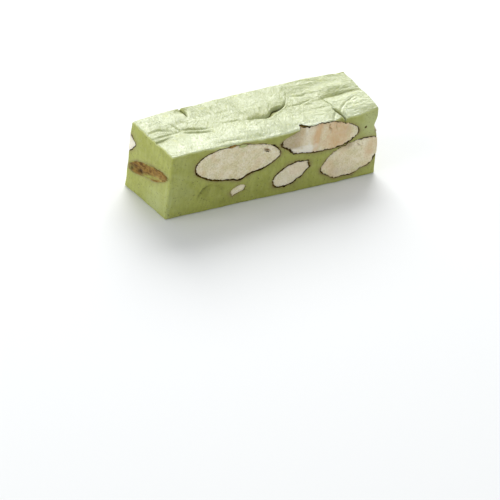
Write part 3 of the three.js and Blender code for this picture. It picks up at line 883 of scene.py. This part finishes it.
def lit_top_green(made, strands, crinkle):
    """The top's pale green, painted as lit by the lamp behind: streaky, with painted shade in its crinkles
    and painted sheens and shades.
    """
    pale = made.tint(LIT_STRAND_DARK, LIT_STRAND_LIGHT, strands, 0.3, 0.7)
    pale = made.tint(pale, TOP_CLOUD, made.noise(3.5, 2), 0.3, 0.7, 0.35)
    # Painted sheen, broken up by the streaks.
    sheen = made.math("MULTIPLY", made.value("sheen"), made.span(strands, 0.2, 0.55, 0.4, 0.9))
    pale = made.mix(sheen, pale, SHEEN)
    # Painted shade in the fine crinkles, in patches.
    wrinkled = made.span(made.noise(2.6, 2), 0.45, 0.6, 0, 0.4)
    pale = made.mix(made.math("MULTIPLY", made.rest(crinkle), wrinkled), pale, WRINKLE_SHADE)
    # Painted shade in hollows and on slopes.
    return made.mix(made.value("shade"), pale, SHADE)


def nougat_finish():
    made = Finish("soft_nougat", 0.5, ior=1.5)
    lit_top, crease = made.value("lit_top"), made.value("crease")
    along = node(made.tree, "SeparateXYZ", {0: made.place}).outputs["X"]
    slanting = made.noise(0.42, 3, (1, 3.6, 1), 20, warp=6.0)
    lengthwise = made.noise(0.5, 3, (1, 3.5, 1), 98, warp=4.0)
    strands = made.blend(made.span(along, *STRANDS_TURN), slanting, lengthwise)
    crinkle = made.noise(1.0, 5, (1, 2, 1), 25, roughness=0.7, warp=5.0)
    crinkle = made.span(made.math("ABSOLUTE", made.math("SUBTRACT", crinkle, 0.5), 0.0), 0.0, 0.014)
    specks = made.span(made.noise(0.42, 1), 0.66, 0.71, 0, 0.7)

    # The top takes the painted light of the lamp behind it; the cut sides keep their own green.
    colour = made.mix(lit_top, cut_green(made, specks), lit_top_green(made, strands, crinkle))
    # Painted highlight on the rounded edge, where the top's painted light fades out.
    rim = made.math("MULTIPLY", lit_top, made.rest(lit_top))
    colour = made.mix(made.math("MULTIPLY", rim, 3.6), colour, RIM_HIGHLIGHT)
    # Painted shade on the fold's floor.
    colour = made.mix(made.math("MULTIPLY", made.value("floor"), 0.75), colour, FOLD_FLOOR_SHADE)
    # Painted shade in the creases, darkest in their cores.
    colour = made.tint(colour, CREASE_SHADE, crease, 0.12, 0.6, 0.75)
    colour = made.tint(colour, CREASE_CORE_SHADE, crease, 0.5, 0.85, 0.9)
    made.use("Base Color", colour)

    uneven = made.noise(0.8, 3)
    plain = made.blend(lit_top, made.span(uneven, 0.3, 0.7, 0.46, 0.58), made.span(uneven, 0.3, 0.7, 0.28, 0.4))
    made.use("Roughness", made.math("MAXIMUM", plain, made.span(crease, 0.15, 0.6, 0, 0.85)))
    cuts = made.math("MULTIPLY", made.noise(0.6, 3, (1, 1, 7)), made.rest(lit_top))
    made.bump(
        (made.math("MULTIPLY", strands, lit_top), 0.2),
        (made.math("MULTIPLY", crinkle, lit_top), 0.012),
        (cuts, 0.07),
        (made.noise(0.3, 4), 0.04),
        (made.noise(1.3, 2), 0.05),
        (made.rest(specks), 0.05),
    )
    made.depth(0.25, 1.0, (1.0, 0.95, 0.4))
    return made.material


def kernel_finish():
    made = Finish("cut_kernel", 0.6)
    grain = made.noise(0.42, 4, roughness=0.7)
    colour = made.tint(CREAM, CREAM_LIGHT, made.noise(2.2, 3), 0.35, 0.65)
    colour = made.tint(colour, CREAM_YELLOW, made.noise(1.7, 3, (1.5, 1.5, 1)), 0.5, 0.7, 0.45)
    colour = made.tint(colour, GRAIN_DARK, grain, 0.5, 0.64, 0.55)
    colour = made.tint(colour, GRAIN_LIGHT, grain, 0.48, 0.36, 0.65)
    colour = made.mix(made.value("peach"), colour, PEACH)
    colour = made.mix(made.value("white"), colour, WHITE)
    colour = made.mix(made.value("brown"), colour, BROWN)
    made.use("Base Color", colour)
    made.use("Roughness", made.span(grain, 0.3, 0.7, 0.5, 0.68))
    made.bump((grain, 0.14), (made.noise(0.9, 3), 0.12))
    made.depth(0.15, 0.6, (1.0, 0.85, 0.55))
    return made.material


def skin_finish():
    made = Finish("brown_skin", 0.7, specular=0.05)
    made.use("Base Color", made.tint(SKIN_DARK, SKIN_LIGHT, made.noise(0.9, 3), 0.4, 0.68))
    made.use("Roughness", made.span(made.noise(0.5, 3), 0.3, 0.7, 0.6, 0.8))
    made.bump((made.noise(0.25, 3), 0.05))
    return made.material


def torn_skin_finish():
    made = Finish("torn_skin", 0.65, specular=0.15)
    streaks = made.noise(0.6, 4, (1, 3, 1), 12)
    colour = made.tint(TORN_BROWN, TORN_BROWN_LIGHT, streaks, 0.3, 0.65)
    colour = made.mix(made.value("tan"), colour, TORN_TAN)
    colour = made.mix(made.value("smear"), colour, TORN_GREEN)
    colour = made.mix(made.value("dark"), colour, TORN_DARK)
    colour = made.tint(colour, TORN_STREAK, streaks, 0.6, 0.75, 0.4)
    made.use("Base Color", colour)
    made.use("Roughness", made.span(streaks, 0.3, 0.7, 0.5, 0.75))
    made.bump((streaks, 0.2), (made.noise(0.25, 3), 0.06))
    return made.material


NOUGAT = nougat_finish()
KERNEL = kernel_finish()
ALMOND_SKIN = skin_finish()
TORN_SKIN = torn_skin_finish()

# ---- Pieces ----


def paint_top(thing, along, across, up):
    """Paints painted light where the top surface shows, its painted sheens and shades, and returns its
    creases.
    """
    below = up - HEIGHT - top_relief(along, across)
    ragged = 0.16 * fractal(along / 1.6, across / 1.6, 2.5, 3)
    # The top's painted light reaches further down over the front edge in places.
    rolled = (0.3 * bell(along - 38, 9) + 0.6 * bell(along - 15, 2.8)) * smoothstep(-across, -2, -1)
    paint(thing, "lit_top", smoothstep(below + ragged + rolled, -0.38, -0.02))
    patchy = 1 + 0.5 * fractal(along / 1.5, across / 1.5, 4.5, 3)
    # Painted shade of hollows and slopes, patchy.
    paint(thing, "shade", spots(TOP_SHADES, along, across) * patchy)
    paint(thing, "sheen", spots(TOP_SHEENS, along, across))
    # Painted shade on the fold's floor, in the shadow of the flap.
    behind, floor_length, strength = fold_place(along, across)
    fold_floor_shade = smoothstep(behind, 0, 0.15) * smoothstep(floor_length - behind, -0.1, 0.1)
    fold_floor_shade = fold_floor_shade * (floor_length > 0.3) * strength
    paint(thing, "floor", fold_floor_shade * smoothstep(below, -1.0, -0.4))
    # A thin painted shadow under the flap's edge joins the creases' painted shade.
    shadow_under_flap = bell(behind - floor_length, 0.14) * (along < 41) * strength
    crease = np.max([shadow_under_flap, *(crease_depth(line, along, across) for line in CREASES)], axis=0)
    return crease * smoothstep(below, -1.6, -0.6)


def paint_sides(thing, along, across, up):
    """Paints painted light and shade and the brown round the almonds, and returns the creases as painted
    shade.
    """
    tone_and_light, halo, groove_shade = (np.zeros(len(along)) for _ in range(3))
    box_points = np.stack([along, across, up], axis=1)
    for face in FACES:
        first, depth, _ = side_place(face, box_points)
        near = depth < SIDE_PAINT_DEPTH
        tone_and_light += near * spots(SIDE_LIGHT_AND_SHADE.get(face, []), first, up)
        # Painted shade in the sides' creases.
        for line in SIDE_CREASES.get(face, []):
            groove_shade = np.maximum(groove_shade, near * crease_depth(line, first, up))
        for almond in ALMONDS.values():
            if almond["face"] == face:
                gap = np.maximum(outline_gap(almond, first, up), 0)
                halo = np.maximum(halo, near * (0.5 * bell(gap, 0.25) + 0.3 * bell(gap, 1.0)))
    patchy = fractal(along / 1.8 + 0.7 * up, across / 1.8, up / 1.8, 3)
    # Painted light and shade from the spots, with a faint random tone.
    paint(thing, "tone_and_light", 0.5 + 0.5 * tone_and_light + 0.1 * patchy)
    paint(thing, "halo", halo * (1 + patchy))
    return 0.8 * groove_shade


def paint_nougat(thing):
    places = unbend(points_of(thing)).T
    paint(thing, "crease", np.maximum(paint_top(thing, *places), paint_sides(thing, *places)))


def paint_torn_skin(thing, almond):
    first, up, x, y = side_view(thing, almond)
    seed = sum(almond["at"])
    edge = smoothstep(-outline_gap(almond, first, up) + 0.35 * fractal(x / 0.9, y / 0.5, seed, 3), 0, 0.35)
    blotch = fractal(x / 0.9, y / 0.4, seed + 2, 3)
    paint(thing, "smear", spots(TORN_SMEARS, x, y) * (1 + 1.2 * blotch) + 1 - edge)
    paint(thing, "tan", spots(TORN_TANS, x, y) * (1 + 1.5 * blotch))
    paint(thing, "dark", spots(TORN_DARKS, x, y))


def paint_kernel(thing, almond):
    """Orange, white and brown places of a cut kernel. A broken one has a band, a crumbly edge and mottles."""
    first, up, x, y = side_view(thing, almond)
    seed = sum(almond["at"])
    broken = almond.get("broken", 0)
    patch = fractal(first / 1.1, up / 1.1, seed + 3, 3)
    wander = 0.5 * fractal(first / 2, up / 2, seed + 5, 3)
    mottled = fractal(first / 0.5, up / 0.9, seed + 7, 3)

    peach = 0.3 * smoothstep(fractal(first / 3, up / 3, seed, 2), 0, 0.5)
    band = bell(x + 1.0 - 0.15 * y + wander, 1.2) + 0.7 * smoothstep(x, 0, 4) * smoothstep(-x, -10.5, -7)
    peach = peach + broken * band * (1 + 0.6 * patch)
    peach = peach + spots(almond.get("peaches", []), first, up) * (1 + patch)
    paint(thing, "peach", peach + broken * 0.3 * smoothstep(mottled, 0.1, 0.5) * smoothstep(x, -1, 2))

    crumbs = 1.4 * bell(x + 4.8, 3) * smoothstep(wander - y, 1.1, 2.1) + 0.35 * bell(x + 4 + wander, 1.6)
    pale = broken * crumbs * (1 + 1.2 * patch) + 0.2 * smoothstep(patch, 0.15, 0.6)
    paint(thing, "white", pale + almond.get("pale", 0))

    brown = broken * 0.4 * smoothstep(wander - x, 3.8, 7.4) * smoothstep(y, -2.6, -1.6)
    brown = brown + spots(almond.get("stains", []), first, up) * (1 + 0.5 * patch)
    for path, depth, width in almond.get("dents", []):
        shown = min(depth * 1.8, 1) * smoothstep(-width, -0.5, -0.25)
        brown = brown + 1.7 * shown * dent_share(path, width, first, up)
    rim = bell(np.minimum(outline_gap(almond, first, up) + almond["skin"][0], 0), 0.35)
    paint(thing, "brown", brown + 0.16 * rim * (1 + patch))


def make_flake(flake):
    """A small uneven lump lying on the front face."""
    ring, segment = np.divmod(np.arange((FLAKE_RINGS - 1) * FLAKE_SEGMENTS), FLAKE_SEGMENTS)
    polar = np.append(ring + 1, [0, FLAKE_RINGS]) * math.pi / FLAKE_RINGS
    around = np.append(segment, [0, 0]) * 2 * math.pi / FLAKE_SEGMENTS
    x, y = np.cos(around), np.sin(around)
    reach = np.sin(polar) * (1 + 0.25 * noise(2.2 * x + flake["at"][0], 2.2 * y, polar * 2))
    length, height, thickness = flake["size"]
    x, y = turned(x * reach * length, y * reach * height, flake["turn"])
    on_face = roughen(np.stack([flake["at"][0] + x, 0 * x, flake["at"][1] + y], axis=1))
    on_face[:, 1] -= np.cos(polar) * thickness * FLAKE_PROUD
    faces = [face[::-1] for face in ring_faces(FLAKE_RINGS - 1, FLAKE_SEGMENTS)]
    return make_object(flake["name"], bend(on_face), faces)


def add_almond(name, almond, pockets):
    """An almond's kernel and, unless it is torn, its skin, both without the earlier almonds' pockets."""
    torn = almond.get("torn")
    pocket = make_almond(name + "_pocket", almond, with_skin=not torn)
    kernel = make_almond(name + "_kernel", almond)
    if not torn:
        skin = cut(add_object(name + "_skin", pocket.data.copy()), [sunk_block], "INTERSECT")
        cut(skin, [kernel, *pockets], "DIFFERENCE")
        dress(skin, ALMOND_SKIN, [name])
    own_block = kernel_block(almond)
    cut(kernel, [own_block], "INTERSECT")
    cut(kernel, pockets, "DIFFERENCE")
    remove(own_block)
    if torn:
        paint_torn_skin(kernel, almond)
        dress(kernel, TORN_SKIN, [name])
    else:
        paint_kernel(kernel, almond)
        dress(kernel, KERNEL, [name])
    return pocket


def add_flake(flake):
    piece = make_flake(flake)
    if flake["kind"] == "nougat":
        paint(piece, "lit_top", FLAKE_LIT_TOP)
        paint(piece, "sheen", flake.get("sheen", 0))
        dress(piece, NOUGAT)
    else:
        dress(piece, TORN_SKIN if flake["kind"] == "skin" else ALMOND_SKIN)


block = make_block("block", [grid_lines(SIZE[axis], STEP[axis], FINE_STRETCHES[axis]) for axis in range(3)])
sunk_block = make_block("sunk_block", [grid_lines(size, COARSE_STEP) for size in SIZE])
sink(sunk_block, SKIN_SUNK)
pockets = []
for name, almond in ALMONDS.items():
    pockets.append(add_almond(name, almond, pockets))

nougat = cut(add_object("nougat_bar", block.data.copy()), pockets, "DIFFERENCE")
paint_nougat(nougat)
dress(nougat, NOUGAT, ["nougat"])
remove(block, sunk_block, *pockets)

for flake in FLAKES:
    add_flake(flake)

# ---- Floor, light and camera ----

FLOOR_REACH = 3000
FLOOR_COLOUR = (0.86, 0.87, 0.87, 1)
ROOM_COLOUR = (0.97, 0.985, 1, 1)
ROOM_STRENGTH = 0.53

floor_finish = Finish("pale_floor", 0.8, ior=1.5)
floor_finish.shader.inputs["Base Color"].default_value = FLOOR_COLOUR
floor_corners = [(x * FLOOR_REACH, y * FLOOR_REACH, 0) for x, y in ((-1, -1), (1, -1), (1, 1), (-1, 1))]
floor = make_object("floor", floor_corners, [[0, 1, 2, 3]])
floor.data.materials.append(floor_finish.material)

world = bpy.data.worlds.new("pale_room")
bpy.context.scene.world = world
world.use_nodes = True
world.node_tree.nodes["Background"].inputs["Color"].default_value = ROOM_COLOUR
world.node_tree.nodes["Background"].inputs["Strength"].default_value = ROOM_STRENGTH


def soft_box(name, azimuth, elevation, distance, size, power):
    """An area light facing the bar, in metres and watts. Azimuth 0 is in front of it, 90 to its right."""
    lamp = bpy.data.lights.new(name, "AREA")
    lamp.shape = "RECTANGLE"
    lamp.size, lamp.size_y = size
    lamp.energy = power
    made = add_object(name, lamp)
    a, e = math.radians(azimuth), math.radians(elevation)
    way = Vector((math.sin(a) * math.cos(e), -math.cos(a) * math.cos(e), math.sin(e)))
    made.location = way * distance
    made.rotation_euler = way.to_track_quat("Z", "Y").to_euler()
    made.visible_camera = False


soft_box("window_behind", azimuth=155, elevation=38, distance=1.0, size=(0.7, 0.7), power=10.5)
soft_box("window_left", azimuth=-95, elevation=28, distance=1.2, size=(0.7, 0.6), power=3.6)

VIEW_YAW = 36.6  # degrees the view turns right of looking along +Y
VIEW_PITCH = 34.0  # degrees it looks down
VIEW_ROLL = 7.92  # degrees the camera leans
VIEW_DISTANCE = 476.7
VIEW_ASIDE = (-0.45, -18.27)  # how far the camera stands right of the bar's middle and above it, in its view
LENS = 135.0

camera_data = bpy.data.cameras.new("camera")
camera_data.lens = LENS
camera_data.sensor_width = 36.0
camera = add_object("camera", camera_data)
turn = Matrix.Identity(3)
for angle, axis in ((-VIEW_YAW, "Z"), (90 - VIEW_PITCH, "X"), (VIEW_ROLL, "Z")):
    turn = turn @ Matrix.Rotation(math.radians(angle), 3, axis)
camera.rotation_euler = turn.to_euler()
middle = Vector((-BOX_MIDDLE[0], -BOX_MIDDLE[1], 0))
camera.location = (middle + turn @ Vector((*VIEW_ASIDE, VIEW_DISTANCE))) * MM
camera_data.clip_start, camera_data.clip_end = 0.01, 20
bpy.context.scene.camera = camera

bpy.context.scene.view_settings.view_transform = "Standard"
